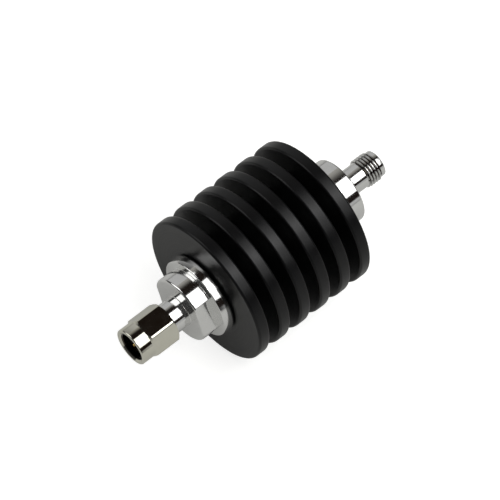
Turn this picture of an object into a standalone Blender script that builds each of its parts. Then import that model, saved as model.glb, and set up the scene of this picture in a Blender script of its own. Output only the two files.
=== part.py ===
# RF attenuator: a finned coaxial attenuator with an SMA plug at one end and an SMA jack at the other.
# Lengths are in metres. The part lies on its fins: its own axis runs along +X, from the plug at -X to
# the jack at +X, and the floor is the plane z = 0.
# Stations along the axis are measured from the heatsink's front face, the one on the plug's side.

from math import asin, cos, pi, radians, sin, sqrt

import bmesh
import bpy
from mathutils import Matrix, Vector

# Clearances between pieces
SEAT_GAP = 0.00005
PRESS_GAP = 0.000035
RUNNING_GAP = 0.00006

# Heatsink
FIN_COUNT = 6
FIN_DIAMETER = 0.032
FIN_THICKNESS = 0.00265
GROOVE_WIDTH = 0.00258
GROOVE_FLOOR_DIAMETER = 0.018
FIN_EDGE_RADIUS = 0.0005
CORE_BORE = 0.012
CORE_BORE_CHAMFER = 0.0003

# Shells of both connectors
SPIGOT_LENGTH = 0.005
SPIGOT_CHAMFER = 0.0003
COLLAR_DIAMETER = 0.0142
SEAT_FLANGE_STEP = 0.00175
SEAT_FLANGE_TAPER = 0.00025
SEAT_FLANGE_THICKNESS = 0.0025
SHELL_CHAMFER = 0.0002
LINE_BORE = 0.00411

# Plug shell
FLATS_LENGTH = 0.0039
FLATS_ACROSS = 0.012
FLATS_CORNER_ANGLE = radians(27)
FLATS_CHAMFER = 0.0003
PLUG_NECK_LENGTH = 0.0075
PLUG_SLEEVE_WALL = 0.00024
PLUG_SLEEVE_LENGTH = 0.0022
SLEEVE_CHAMFER = 0.0001
RING_GROOVE_DEPTH = 0.00035
RING_GROOVE_SETBACK = 0.00095

# Retaining ring of the coupling nut
RING_THICKNESS = 0.0005
RING_REACH = 0.0003
RING_SPLIT = 0.0007

# Coupling nut
NUT_ACROSS_FLATS = 0.008
NUT_BLANK_ALLOWANCE = 0.0001
NUT_CORNER_ANGLE = radians(38)
NUT_REAR_SETBACK = 0.0036
NUT_HEX_LENGTH = 0.0056
NUT_WALL = 0.00064
NUT_NOSE_LENGTH = 0.0033
NUT_NOSE_UNDERCUT = 0.00002
NUT_NOSE_CHAMFER = 0.0002
NUT_CHAMFER_LENGTH = 0.0004
NUT_REAR_FACE_MARGIN = 0.00005
NUT_LIP = 0.00058
NUT_THREAD_DEPTH = 0.0003
NUT_THREAD_SETBACK = 0.0008

# Gasket in the plug
GASKET_THICKNESS = 0.0007
GASKET_EDGE_GAP = 0.0002

# Jack shell
JACK_COLLAR_LENGTH = 0.0042
JACK_NECK_LENGTH = 0.0049
JACK_THREAD_DIAMETER = 0.00635
JACK_THREAD_DEPTH = 0.000425
JACK_THREAD_LENGTH = 0.0035
JACK_THREAD_RUNOUT = 0.0004
JACK_THREAD_CHAMFER = 0.0003
JACK_PILOT_STEP = 0.000325
JACK_PILOT_LENGTH = 0.00096
JACK_PILOT_CHAMFER = 0.0001
JACK_MATING_GAP = 0.000015
JACK_COUNTERBORE_DEPTH = 0.0019

# Centre contacts
CONTACT_DIAMETER = 0.00127
PIN_DIAMETER = 0.00092
PIN_REACH = 0.002
PIN_TAPER_LENGTH = 0.0005
PIN_TIP_DIAMETER = 0.0004
SOCKET_PIN_GAP = 0.00001
SOCKET_BORE_DEPTH = 0.0026
SOCKET_SLOT_WIDTH = 0.00018
SOCKET_SLOT_LENGTH = 0.0019
TAIL_DIAMETER = 0.0008
TAIL_LENGTH = 0.0029
TAIL_CHAMFER = 0.0002

# Attenuator chip, its pad and its tabs
CHIP_LENGTH = 0.01
CHIP_WIDTH = 0.004
CHIP_THICKNESS = 0.001
PAD_THICKNESS = 0.00015
TAB_WIDTH = 0.001
TAB_THICKNESS = 0.00015
TAB_OVERLAP = 0.0012
TAB_END_GAP = 0.0007

# Carrier that clamps the chip inside the heatsink, and its screws
CHIP_SIDE_GAP = 0.0002
CHANNEL_ROOF_WALL = 0.0004
CARRIER_SCREW_INSET = 0.0034
SCREW_DIAMETER = 0.0012
SCREW_HEAD_DIAMETER = 0.0022
SCREW_HEAD_HEIGHT = 0.0008
SCREW_HEAD_COVER = 0.00005
SCREW_SLOT_WIDTH = 0.0004
SCREW_SLOT_DEPTH = 0.0004
SCREW_HOLE_TIP = 0.0004
SCREW_HOLE_COVER = 0.0012

# Facets round each turned piece
HEATSINK_SIDES = 60
SHELL_SIDES = 48
SMALL_SIDES = 32
CONTACT_SIDES = 24
SCREW_SIDES = 16
EDGE_STEPS = 2

# Stations along the axis that the sizes above give
FIN_PITCH = FIN_THICKNESS + GROOVE_WIDTH
HEATSINK_LENGTH = FIN_COUNT * FIN_PITCH - GROOVE_WIDTH
PLUG_FLANGE_FACE = -SEAT_GAP - SEAT_FLANGE_THICKNESS
FLATS_FACE = PLUG_FLANGE_FACE - FLATS_LENGTH
PLUG_SHOULDER = FLATS_FACE - PLUG_NECK_LENGTH
PLUG_PLANE = PLUG_SHOULDER - PLUG_SLEEVE_LENGTH
NUT_REAR = FLATS_FACE - NUT_REAR_SETBACK
NUT_HEX_FRONT = NUT_REAR - NUT_HEX_LENGTH
NUT_FRONT = NUT_HEX_FRONT - NUT_NOSE_LENGTH
JACK_FLANGE_FACE = HEATSINK_LENGTH + SEAT_GAP + SEAT_FLANGE_THICKNESS
JACK_COLLAR_END = JACK_FLANGE_FACE + JACK_COLLAR_LENGTH
JACK_THREAD_START = JACK_COLLAR_END + JACK_NECK_LENGTH
JACK_THREAD_END = JACK_THREAD_START + JACK_THREAD_LENGTH
JACK_END = JACK_THREAD_END + JACK_PILOT_LENGTH
JACK_PLANE = JACK_END - JACK_COUNTERBORE_DEPTH
PLUG_SPIGOT_END = SPIGOT_LENGTH
JACK_SPIGOT_END = HEATSINK_LENGTH - SPIGOT_LENGTH
CARRIER_START = PLUG_SPIGOT_END + SEAT_GAP
CARRIER_END = JACK_SPIGOT_END - SEAT_GAP
CARRIER_MIDDLE = (CARRIER_START + CARRIER_END) / 2

# Radii that the sizes above give
CORE_RADIUS = CORE_BORE / 2 - SEAT_GAP
COLLAR_RADIUS = COLLAR_DIAMETER / 2
SEAT_FLANGE_RADIUS = COLLAR_RADIUS + SEAT_FLANGE_STEP
SEAT_FLANGE_FACE_RADIUS = SEAT_FLANGE_RADIUS - SEAT_FLANGE_TAPER
LINE_RADIUS = LINE_BORE / 2
PLUG_SLEEVE_RADIUS = LINE_RADIUS + PLUG_SLEEVE_WALL
PLUG_NECK_RADIUS = NUT_ACROSS_FLATS / 2 - NUT_WALL - RUNNING_GAP
RING_GROOVE_RADIUS = PLUG_NECK_RADIUS - RING_GROOVE_DEPTH
NUT_NOSE_RADIUS = NUT_ACROSS_FLATS / 2 - NUT_NOSE_UNDERCUT
JACK_THREAD_RADIUS = JACK_THREAD_DIAMETER / 2
JACK_COUNTERBORE_RADIUS = PLUG_SLEEVE_RADIUS + JACK_MATING_GAP
CONTACT_RADIUS = CONTACT_DIAMETER / 2
TAIL_RADIUS = TAIL_DIAMETER / 2

# Heights of the chip's stack below the axis: the contacts' tails lie on the tabs, the tabs on the chip,
# the chip on its pad, and the pad on the floor of the carrier's channel
TAB_TOP = -TAIL_RADIUS - SEAT_GAP
CHIP_TOP = TAB_TOP - TAB_THICKNESS - SEAT_GAP
PAD_TOP = CHIP_TOP - CHIP_THICKNESS - SEAT_GAP
CHANNEL_FLOOR = PAD_TOP - PAD_THICKNESS - SEAT_GAP

# The carrier's screws stand beside the channel, with their heads just under the carrier's round top
CHANNEL_HALF_WIDTH = CHIP_WIDTH / 2 + CHIP_SIDE_GAP
SCREW_OFFSET = CHANNEL_HALF_WIDTH + SCREW_HEAD_DIAMETER / 2
SCREW_HEAD_TOP = sqrt((CORE_RADIUS - SCREW_HEAD_COVER) ** 2 - (SCREW_OFFSET + SCREW_HEAD_DIAMETER / 2) ** 2)
SCREW_SEAT = SCREW_HEAD_TOP - SCREW_HEAD_HEIGHT - SEAT_GAP
SCREW_HOLE_BOTTOM = SCREW_HOLE_COVER - sqrt(CORE_RADIUS ** 2 - (SCREW_OFFSET + SCREW_DIAMETER / 2) ** 2)
CHANNEL_ROOF = SCREW_SEAT - CHANNEL_ROOF_WALL

# The axis lies one facet's height above the floor, and the part is centred over the origin
AXIS_HEIGHT = FIN_DIAMETER / 2 * cos(pi / HEATSINK_SIDES)
MIDDLE_STATION = (NUT_FRONT + JACK_END) / 2


def clear_scene():
    for thing in list(bpy.data.objects):
        bpy.data.objects.remove(thing, do_unlink=True)


def material(name, colour, roughness, metallic):
    made = bpy.data.materials.new(name)
    made.use_nodes = True
    shader = made.node_tree.nodes["Principled BSDF"]
    shader.inputs["Base Color"].default_value = (*colour, 1.0)
    shader.inputs["Roughness"].default_value = roughness
    shader.inputs["Metallic"].default_value = metallic
    made.diffuse_color = (*colour, 1.0)
    return made


def add_object(name, mesh_builder, look, parent, location=(0, 0, 0), turn=0.0):
    """Make an object from a bmesh, placed along the part's axis and turned about it."""
    mesh = bpy.data.meshes.new(name)
    mesh_builder.to_mesh(mesh)
    mesh_builder.free()
    mesh.materials.append(look)
    mesh.shade_smooth()
    mesh.set_sharp_from_angle(angle=radians(25))
    made = bpy.data.objects.new(name, mesh)
    bpy.context.collection.objects.link(made)
    made.parent = parent
    made.location = location
    made.rotation_euler = (turn, 0, 0)
    return made


def turned(profile, sides):
    """Spin a profile of (station, radius) points about X. A profile that ends on the axis is solid;
    one whose points all lie off the axis is a closed ring section."""
    bm = bmesh.new()
    half_step = pi / sides
    points = [Vector((x, -r * sin(half_step), r * cos(half_step))) for x, r in profile]
    line = [bm.verts.new(point) for point in points]
    edges = [bm.edges.new(pair) for pair in zip(line, line[1:])]
    if profile[0][1] > 0:
        edges.append(bm.edges.new((line[-1], line[0])))
    bmesh.ops.spin(bm, geom=line + edges, cent=(0, 0, 0), axis=(1, 0, 0), angle=2 * pi, steps=sides,
                   use_merge=True)
    bmesh.ops.remove_doubles(bm, verts=bm.verts, dist=1e-7)
    bmesh.ops.recalc_face_normals(bm, faces=bm.faces)
    return bm


def extruded(section, start, end):
    """Extrude a flat section of (y, z) points along X from one station to another."""
    bm = bmesh.new()
    corners = [bm.verts.new((start, y, z)) for y, z in section]
    face = bm.faces.new(corners)
    result = bmesh.ops.extrude_face_region(bm, geom=[face])
    moved = [item for item in result["geom"] if isinstance(item, bmesh.types.BMVert)]
    bmesh.ops.translate(bm, verts=moved, vec=(end - start, 0, 0))
    bmesh.ops.recalc_face_normals(bm, faces=bm.faces)
    return bm


def box(low, high, bm=None):
    """A box between two corners, added to bm where one is given."""
    bm = bm or bmesh.new()
    low, high = Vector(low), Vector(high)
    place = Matrix.Translation((low + high) / 2) @ Matrix.Diagonal((high - low).to_4d())
    bmesh.ops.create_cube(bm, size=1.0, matrix=place)
    return bm


def upright_rod(profile, sides):
    """Spin a profile of (height, radius) points about Z, for pieces that stand across the axis."""
    bm = turned(profile, sides)
    bmesh.ops.rotate(bm, verts=bm.verts, cent=(0, 0, 0), matrix=Matrix.Rotation(-pi / 2, 3, "Y"))
    return bm


def add_cutter(name, mesh_builder, parent, location=(0, 0, 0), turn=0.0):
    mesh = bpy.data.meshes.new(name)
    mesh_builder.to_mesh(mesh)
    mesh_builder.free()
    cutter = bpy.data.objects.new(name, mesh)
    bpy.context.collection.objects.link(cutter)
    cutter.parent = parent
    cutter.location = location
    cutter.rotation_euler = (turn, 0, 0)
    cutter.hide_render = True
    cutter.display_type = "WIRE"
    return cutter


def boolean(target, cutter, operation="DIFFERENCE"):
    modifier = target.modifiers.new(cutter.name, "BOOLEAN")
    modifier.object = cutter
    modifier.operation = operation
    modifier.solver = "EXACT"


def edge_arc(centre_x, centre_r, start_angle, end_angle):
    """Points round a fin's rim edge. Angle 0 points along +X and a right angle points outward."""
    points = []
    for step in range(EDGE_STEPS + 1):
        angle = start_angle + (end_angle - start_angle) * step / EDGE_STEPS
        points.append((centre_x + FIN_EDGE_RADIUS * cos(angle), centre_r + FIN_EDGE_RADIUS * sin(angle)))
    return points


def make_heatsink(look, axis):
    """One bar turned into round fins, bored through for the line."""
    rim = FIN_DIAMETER / 2
    arc_height = rim - FIN_EDGE_RADIUS
    floor = GROOVE_FLOOR_DIAMETER / 2
    bore = CORE_BORE / 2
    profile = [(CORE_BORE_CHAMFER, bore), (0.0, bore + CORE_BORE_CHAMFER)]
    for fin in range(FIN_COUNT):
        front = fin * FIN_PITCH
        back = front + FIN_THICKNESS
        if fin > 0:
            profile.append((front, floor))
        profile += edge_arc(front + FIN_EDGE_RADIUS, arc_height, pi, pi / 2)
        profile += edge_arc(back - FIN_EDGE_RADIUS, arc_height, pi / 2, 0)
        if fin < FIN_COUNT - 1:
            profile.append((back, floor))
    profile.append((HEATSINK_LENGTH, bore + CORE_BORE_CHAMFER))
    profile.append((HEATSINK_LENGTH - CORE_BORE_CHAMFER, bore))
    return add_object("heatsink", turned(profile, HEATSINK_SIDES), look, axis)


def make_plug_shell(look, axis):
    """Turned shell of the plug: spigot, seat flange, wrench flats, neck with the ring groove, sleeve."""
    groove_front = PLUG_SHOULDER + RING_GROOVE_SETBACK
    groove_back = groove_front + RING_THICKNESS + 2 * SEAT_GAP
    profile = [
        (PLUG_PLANE, LINE_RADIUS),
        (PLUG_PLANE, PLUG_SLEEVE_RADIUS - SLEEVE_CHAMFER),
        (PLUG_PLANE + SLEEVE_CHAMFER, PLUG_SLEEVE_RADIUS),
        (PLUG_SHOULDER, PLUG_SLEEVE_RADIUS),
        (PLUG_SHOULDER, PLUG_NECK_RADIUS - SLEEVE_CHAMFER),
        (PLUG_SHOULDER + SLEEVE_CHAMFER, PLUG_NECK_RADIUS),
        (groove_front, PLUG_NECK_RADIUS),
        (groove_front, RING_GROOVE_RADIUS),
        (groove_back, RING_GROOVE_RADIUS),
        (groove_back, PLUG_NECK_RADIUS),
        (FLATS_FACE, PLUG_NECK_RADIUS),
        (FLATS_FACE, COLLAR_RADIUS - FLATS_CHAMFER),
        (FLATS_FACE + FLATS_CHAMFER, COLLAR_RADIUS),
        (PLUG_FLANGE_FACE, COLLAR_RADIUS),
        (PLUG_FLANGE_FACE, SEAT_FLANGE_FACE_RADIUS - SHELL_CHAMFER),
        (PLUG_FLANGE_FACE + SHELL_CHAMFER, SEAT_FLANGE_FACE_RADIUS),
        (-SEAT_GAP - SHELL_CHAMFER, SEAT_FLANGE_RADIUS),
        (-SEAT_GAP, SEAT_FLANGE_RADIUS - SHELL_CHAMFER),
        (-SEAT_GAP, CORE_RADIUS),
        (PLUG_SPIGOT_END - SPIGOT_CHAMFER, CORE_RADIUS),
        (PLUG_SPIGOT_END, CORE_RADIUS - SPIGOT_CHAMFER),
        (PLUG_SPIGOT_END, LINE_RADIUS),
    ]
    shell = add_object("plug_shell", turned(profile, SHELL_SIDES), look, axis)
    half = FLATS_ACROSS / 2
    reach = COLLAR_DIAMETER
    width = half - FLATS_CHAMFER
    blocks = bmesh.new()
    for side in (-1, 1):
        near, far = sorted((side * half, side * reach))
        box((FLATS_FACE - FLATS_LENGTH, -width, near), (PLUG_FLANGE_FACE, width, far), blocks)
        box((FLATS_FACE - FLATS_LENGTH, near, -width), (PLUG_FLANGE_FACE, far, width), blocks)
    cutter = add_cutter("wrench_flats_cutter", blocks, axis, turn=FLATS_CORNER_ANGLE + pi / 4)
    boolean(shell, cutter)
    return shell


def make_nut_ring(look, axis):
    """Split wire ring that sits in the plug shell's groove and holds the coupling nut on."""
    inner = RING_GROOVE_RADIUS + SEAT_GAP
    outer = PLUG_NECK_RADIUS + RING_REACH
    front = PLUG_SHOULDER + RING_GROOVE_SETBACK + SEAT_GAP
    back = front + RING_THICKNESS
    profile = [(front, inner), (front, outer), (back, outer), (back, inner)]
    ring = add_object("nut_ring", turned(profile, SMALL_SIDES), look, axis)
    gap = box((front - outer, -RING_SPLIT / 2, 0), (back + outer, RING_SPLIT / 2, 2 * outer))
    boolean(ring, add_cutter("ring_split_cutter", gap, axis))
    return ring


def make_coupling_nut(look, axis):
    """Hexagon bar turned down at the nose, with a threaded mouth and a relief behind the thread."""
    corner = NUT_ACROSS_FLATS / sqrt(3)
    blank = corner + NUT_BLANK_ALLOWANCE
    mouth = NUT_NOSE_RADIUS - NUT_LIP
    thread = JACK_THREAD_RADIUS - NUT_THREAD_DEPTH
    relief = PLUG_NECK_RADIUS + RUNNING_GAP
    groove = relief + RING_REACH
    groove_front = PLUG_SHOULDER + RING_GROOVE_SETBACK - SEAT_GAP
    groove_back = groove_front + RING_THICKNESS + 4 * SEAT_GAP
    thread_back = PLUG_SHOULDER - NUT_THREAD_SETBACK
    profile = [
        (NUT_FRONT, mouth),
        (NUT_FRONT, NUT_NOSE_RADIUS - NUT_NOSE_CHAMFER),
        (NUT_FRONT + NUT_NOSE_CHAMFER, NUT_NOSE_RADIUS),
        (NUT_HEX_FRONT, NUT_NOSE_RADIUS),
        (NUT_HEX_FRONT + NUT_CHAMFER_LENGTH, blank),
        (NUT_REAR - NUT_CHAMFER_LENGTH, blank),
        (NUT_REAR, NUT_ACROSS_FLATS / 2 + NUT_REAR_FACE_MARGIN),
        (NUT_REAR, relief),
        (groove_back, relief),
        (groove_back, groove),
        (groove_front, groove),
        (groove_front, relief),
        (thread_back, relief),
        (thread_back, thread),
        (NUT_FRONT + mouth - thread, thread),
    ]
    pivot = NUT_REAR
    profile = [(x - pivot, r) for x, r in profile]
    nut = add_object("coupling_nut", turned(profile, SHELL_SIDES), look, axis, location=(pivot, 0, 0))
    corners = []
    for side in range(6):
        angle = side * pi / 3
        corners.append((-corner * sin(angle), corner * cos(angle)))
    margin = NUT_NOSE_LENGTH
    bar = extruded(corners, NUT_FRONT - margin - pivot, NUT_REAR + margin - pivot)
    hexagon = add_cutter("hexagon_bar", bar, axis, location=(pivot, 0, 0), turn=NUT_CORNER_ANGLE)
    boolean(nut, hexagon, "INTERSECT")
    return nut


def make_gasket(look, axis):
    """Soft ring against the plug shell's shoulder, which seals on the mating jack's end."""
    inner = PLUG_SLEEVE_RADIUS + PRESS_GAP
    outer = PLUG_NECK_RADIUS - GASKET_EDGE_GAP
    back = PLUG_SHOULDER - SEAT_GAP
    front = back - GASKET_THICKNESS
    profile = [(front, inner), (front, outer), (back, outer), (back, inner)]
    return add_object("plug_gasket", turned(profile, SMALL_SIDES), look, axis)


def make_dielectric(name, start, end, look, axis):
    """PTFE sleeve that carries the centre contact in the shell's bore."""
    outer = LINE_RADIUS - PRESS_GAP
    inner = CONTACT_RADIUS + PRESS_GAP
    profile = [(start, inner), (start, outer), (end, outer), (end, inner)]
    return add_object(name, turned(profile, SMALL_SIDES), look, axis)


def make_plug_pin(look, axis):
    """Centre pin of the plug, with a tapered tip and a thin tail that rests on the chip's tab."""
    pin = PIN_DIAMETER / 2
    tip = PLUG_PLANE - PIN_REACH
    profile = [
        (tip, 0.0),
        (tip, PIN_TIP_DIAMETER / 2),
        (tip + PIN_TAPER_LENGTH, pin),
        (PLUG_PLANE, pin),
        (PLUG_PLANE, CONTACT_RADIUS),
        (CARRIER_START, CONTACT_RADIUS),
        (CARRIER_START + TAIL_CHAMFER, TAIL_RADIUS),
        (CARRIER_START + TAIL_LENGTH, TAIL_RADIUS),
        (CARRIER_START + TAIL_LENGTH, 0.0),
    ]
    return add_object("plug_pin", turned(profile, CONTACT_SIDES), look, axis)


def make_jack_socket(look, axis):
    """Centre socket of the jack: bored, with two crossed saw cuts that make four spring fingers."""
    bore = PIN_DIAMETER / 2 + SOCKET_PIN_GAP
    bottom = JACK_PLANE - SOCKET_BORE_DEPTH
    profile = [
        (CARRIER_END - TAIL_LENGTH, 0.0),
        (CARRIER_END - TAIL_LENGTH, TAIL_RADIUS),
        (CARRIER_END - TAIL_CHAMFER, TAIL_RADIUS),
        (CARRIER_END, CONTACT_RADIUS),
        (JACK_PLANE, CONTACT_RADIUS),
        (JACK_PLANE, bore),
        (bottom, bore),
        (bottom - bore / 2, 0.0),
    ]
    socket = add_object("jack_socket", turned(profile, CONTACT_SIDES), look, axis)
    half = SOCKET_SLOT_WIDTH / 2
    low = (JACK_PLANE - SOCKET_SLOT_LENGTH, -CONTACT_DIAMETER, -half)
    high = (JACK_PLANE + SOCKET_SLOT_LENGTH, CONTACT_DIAMETER, half)
    for count in range(2):
        saw = add_cutter(f"socket_saw_cut_{count + 1}", box(low, high), axis, turn=pi / 4 + count * pi / 2)
        boolean(socket, saw)
    return socket


def make_jack_shell(look, axis):
    """Turned shell of the jack: spigot, seat flange, collar, neck, threaded barrel, pilot."""
    neck = JACK_THREAD_RADIUS - JACK_THREAD_DEPTH
    pilot = JACK_THREAD_RADIUS - JACK_PILOT_STEP
    seat = HEATSINK_LENGTH + SEAT_GAP
    profile = [
        (JACK_SPIGOT_END, LINE_RADIUS),
        (JACK_SPIGOT_END, CORE_RADIUS - SPIGOT_CHAMFER),
        (JACK_SPIGOT_END + SPIGOT_CHAMFER, CORE_RADIUS),
        (seat, CORE_RADIUS),
        (seat, SEAT_FLANGE_RADIUS - SHELL_CHAMFER),
        (seat + SHELL_CHAMFER, SEAT_FLANGE_RADIUS),
        (JACK_FLANGE_FACE - SHELL_CHAMFER, SEAT_FLANGE_FACE_RADIUS),
        (JACK_FLANGE_FACE, SEAT_FLANGE_FACE_RADIUS - SHELL_CHAMFER),
        (JACK_FLANGE_FACE, COLLAR_RADIUS),
        (JACK_COLLAR_END - SHELL_CHAMFER, COLLAR_RADIUS),
        (JACK_COLLAR_END, COLLAR_RADIUS - SHELL_CHAMFER),
        (JACK_COLLAR_END, neck),
        (JACK_THREAD_START, neck),
        (JACK_THREAD_START + JACK_THREAD_RUNOUT, JACK_THREAD_RADIUS),
        (JACK_THREAD_END - JACK_THREAD_CHAMFER, JACK_THREAD_RADIUS),
        (JACK_THREAD_END, pilot),
        (JACK_END - JACK_PILOT_CHAMFER, pilot),
        (JACK_END, pilot - JACK_PILOT_CHAMFER),
        (JACK_END, JACK_COUNTERBORE_RADIUS),
        (JACK_PLANE, JACK_COUNTERBORE_RADIUS),
        (JACK_PLANE, LINE_RADIUS),
    ]
    return add_object("jack_shell", turned(profile, SHELL_SIDES), look, axis)


def half_section(side, channel_height):
    """Section of one carrier half: half a disc with a channel along its split face."""
    split = SEAT_GAP / 2
    start = asin(split / CORE_RADIUS)
    steps = SHELL_SIDES // 2
    points = []
    for step in range(steps + 1):
        angle = start + (pi - 2 * start) * step / steps
        points.append((CORE_RADIUS * cos(angle), side * CORE_RADIUS * sin(angle)))
    points += [(-CHANNEL_HALF_WIDTH, side * split), (-CHANNEL_HALF_WIDTH, channel_height)]
    points += [(CHANNEL_HALF_WIDTH, channel_height), (CHANNEL_HALF_WIDTH, side * split)]
    return points


def carrier_screw_places():
    places = []
    for station in (CARRIER_START + CARRIER_SCREW_INSET, CARRIER_END - CARRIER_SCREW_INSET):
        for side in (-1, 1):
            places.append((station, side * SCREW_OFFSET, SCREW_SEAT))
    return places


def make_carrier(look, axis):
    """Split carrier: the lower half holds the chip, the upper half closes over it."""
    lower_half = extruded(half_section(-1, CHANNEL_FLOOR), CARRIER_START, CARRIER_END)
    upper_half = extruded(half_section(1, CHANNEL_ROOF), CARRIER_START, CARRIER_END)
    lower = add_object("carrier_lower", lower_half, look, axis)
    upper = add_object("carrier_upper", upper_half, look, axis)
    head = SCREW_HEAD_DIAMETER / 2 + 2 * SEAT_GAP
    clear = SCREW_DIAMETER / 2 + 2 * SEAT_GAP
    tapped = SCREW_DIAMETER / 2 + SEAT_GAP
    above = CORE_RADIUS - SCREW_SEAT
    bottom = SCREW_HOLE_BOTTOM - SCREW_SEAT
    hole = [
        (bottom, 0.0),
        (bottom + SCREW_HOLE_TIP / 2, tapped),
        (-SCREW_SEAT, tapped),
        (-SCREW_SEAT, clear),
        (0.0, clear),
        (0.0, head),
        (above, head),
        (above, 0.0),
    ]
    for count, place in enumerate(carrier_screw_places(), 1):
        bit = upright_rod(hole, SCREW_SIDES)
        cutter = add_cutter(f"carrier_screw_hole_{count}", bit, axis, location=place)
        boolean(lower, cutter)
        boolean(upper, cutter)


def make_carrier_screws(look, axis):
    """Slotted screws that draw the carrier's halves together."""
    shank = SCREW_DIAMETER / 2
    head = SCREW_HEAD_DIAMETER / 2
    top = SEAT_GAP + SCREW_HEAD_HEIGHT
    end = SCREW_HOLE_BOTTOM + SCREW_HOLE_TIP - SCREW_SEAT
    profile = [
        (end, 0.0),
        (end, shank),
        (SEAT_GAP, shank),
        (SEAT_GAP, head),
        (top, head),
        (top, 0.0),
    ]
    slot_low = (-SCREW_HEAD_DIAMETER, -SCREW_SLOT_WIDTH / 2, top - SCREW_SLOT_DEPTH)
    slot_high = (SCREW_HEAD_DIAMETER, SCREW_SLOT_WIDTH / 2, top + SCREW_SLOT_DEPTH)
    for count, place in enumerate(carrier_screw_places(), 1):
        screw = add_object(f"carrier_screw_{count}", upright_rod(profile, SCREW_SIDES), look, axis,
                           location=place)
        cutter = add_cutter(f"screw_slot_{count}", box(slot_low, slot_high), axis, location=place)
        boolean(screw, cutter)


def make_chip(ceramic, pad_look, tab_look, axis):
    """Ceramic attenuator chip on its pad, with a flat tab from each end to a contact's tail."""
    start = CARRIER_MIDDLE - CHIP_LENGTH / 2
    end = CARRIER_MIDDLE + CHIP_LENGTH / 2
    half = CHIP_WIDTH / 2
    chip = box((start, -half, CHIP_TOP - CHIP_THICKNESS), (end, half, CHIP_TOP))
    add_object("attenuator_chip", chip, ceramic, axis)
    pad = box((start, -half, PAD_TOP - PAD_THICKNESS), (end, half, PAD_TOP))
    add_object("chip_pad", pad, pad_look, axis)
    tab_half = TAB_WIDTH / 2
    tabs = {
        "input_tab": (CARRIER_START + TAB_END_GAP, start + TAB_OVERLAP),
        "output_tab": (end - TAB_OVERLAP, CARRIER_END - TAB_END_GAP),
    }
    for name, (low, high) in tabs.items():
        tab = box((low, -tab_half, TAB_TOP - TAB_THICKNESS), (high, tab_half, TAB_TOP))
        add_object(name, tab, tab_look, axis)


def build():
    clear_scene()
    black_anodised = material("black_anodised_aluminium", (0.022, 0.022, 0.023), 0.38, 0.0)
    nickel = material("polished_nickel_plate", (0.66, 0.64, 0.6), 0.14, 1.0)
    spring_steel = material("spring_steel", (0.45, 0.45, 0.46), 0.3, 1.0)
    silicone = material("red_brown_silicone", (0.26, 0.05, 0.03), 0.6, 0.0)
    ptfe = material("white_ptfe", (0.85, 0.84, 0.8), 0.5, 0.0)
    gold = material("gold_plate", (0.8, 0.55, 0.22), 0.2, 1.0)
    bare_aluminium = material("bare_aluminium", (0.72, 0.72, 0.73), 0.35, 1.0)
    steel = material("zinc_plated_steel", (0.6, 0.6, 0.6), 0.3, 1.0)
    ceramic = material("white_ceramic", (0.8, 0.8, 0.78), 0.45, 0.0)
    indium = material("indium_foil", (0.5, 0.5, 0.52), 0.5, 1.0)

    axis = bpy.data.objects.new("attenuator_axis", None)
    bpy.context.collection.objects.link(axis)
    axis.location = (-MIDDLE_STATION, 0, AXIS_HEIGHT)

    make_heatsink(black_anodised, axis)
    make_plug_shell(nickel, axis)
    make_nut_ring(spring_steel, axis)
    make_coupling_nut(nickel, axis)
    make_gasket(silicone, axis)
    make_dielectric("plug_dielectric", PLUG_PLANE, PLUG_SPIGOT_END, ptfe, axis)
    make_dielectric("jack_dielectric", JACK_SPIGOT_END, JACK_PLANE, ptfe, axis)
    make_plug_pin(gold, axis)
    make_jack_socket(gold, axis)
    make_jack_shell(nickel, axis)
    make_carrier(bare_aluminium, axis)
    make_carrier_screws(steel, axis)
    make_chip(ceramic, indium, gold, axis)
    bpy.context.view_layer.update()


build()
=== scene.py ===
# RF attenuator, dressed: a finned coaxial attenuator lying on its fins, the plug at -X and the jack at +X.
# The frame is in metres. Stations and radii in the outlines below are millimetres, with stations measured
# along the part's own axis from the heatsink's front face, the one on the plug's side.

from math import atan2, cos, pi, radians, sin, sqrt, tan

import bpy
from mathutils import Matrix, Vector


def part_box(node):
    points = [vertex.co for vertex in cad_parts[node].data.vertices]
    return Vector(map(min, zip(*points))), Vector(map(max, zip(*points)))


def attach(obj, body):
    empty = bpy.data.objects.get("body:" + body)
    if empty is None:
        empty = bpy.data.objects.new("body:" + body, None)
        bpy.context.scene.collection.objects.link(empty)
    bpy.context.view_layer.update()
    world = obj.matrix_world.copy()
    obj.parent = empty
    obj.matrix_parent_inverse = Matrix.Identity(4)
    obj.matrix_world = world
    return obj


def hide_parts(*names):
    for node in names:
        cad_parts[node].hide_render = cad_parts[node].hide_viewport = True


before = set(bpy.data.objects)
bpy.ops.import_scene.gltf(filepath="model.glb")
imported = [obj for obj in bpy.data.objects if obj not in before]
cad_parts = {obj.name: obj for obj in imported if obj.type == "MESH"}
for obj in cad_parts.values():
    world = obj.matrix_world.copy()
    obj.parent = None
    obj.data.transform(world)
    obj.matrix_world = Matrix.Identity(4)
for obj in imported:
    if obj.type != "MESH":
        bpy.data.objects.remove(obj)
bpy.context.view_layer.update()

# Heatsink. One bar of aluminium is turned into six round fins and bored through, and then the whole bar
# is black anodised. The rims' edges are broken with a small radius, and each groove ends in a root radius.

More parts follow.
